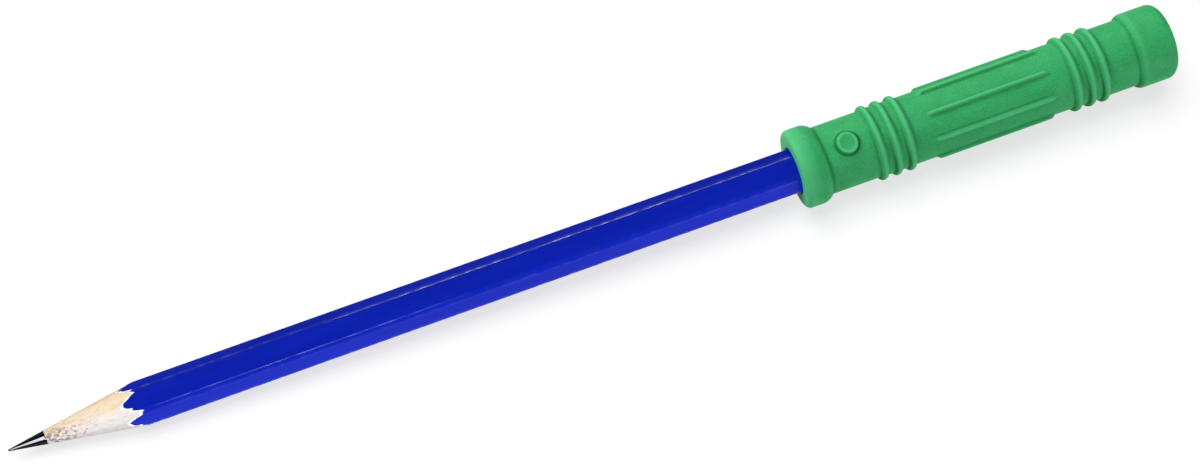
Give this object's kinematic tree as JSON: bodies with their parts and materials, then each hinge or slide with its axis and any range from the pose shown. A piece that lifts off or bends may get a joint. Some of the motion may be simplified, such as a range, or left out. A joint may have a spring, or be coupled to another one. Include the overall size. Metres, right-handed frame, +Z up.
{
  "type": "pencil topper",
  "caption": "Chewable rubber pencil topper with grip rings, long ribs and a raised button, pushed onto a sharpened hexagonal pencil whose eraser end it covers.",
  "frame": {"origin": "on the table under the middle of the assembly's length, below the pencil's axis; the collar's lowest point is at z = 0", "axes": "+X along the pencil from its point to the topper's closed end, +Z up, square to one flat of the barrel"},
  "size_m": [0.2068, 0.0138, 0.0139],
  "materials": {
    "topper_rubber": "matte moulded green rubber",
    "lacquer": "glossy blue lacquer",
    "upper_wood": "freshly cut pale wood",
    "lower_wood": "freshly cut pale wood",
    "graphite": "fired graphite, burnished by the sharpener",
    "ferrule_metal": "rolled bare metal",
    "eraser_rubber": "matte pink rubber"
  },
  "bodies": {
    "pencil": {"lacquer_coat": "lacquer", "upper_slat": "upper_wood", "lower_slat": "lower_wood", "graphite_core": "graphite", "ferrule": "ferrule_metal", "eraser": "eraser_rubber"},
    "topper": {"topper": "topper_rubber"}
  },
  "joints": [
    {"name": "topper_slide", "type": "slide", "parent": "pencil", "child": "topper", "axis": [1, 0, 0], "range_m": [0, 0.06]}
  ]
}
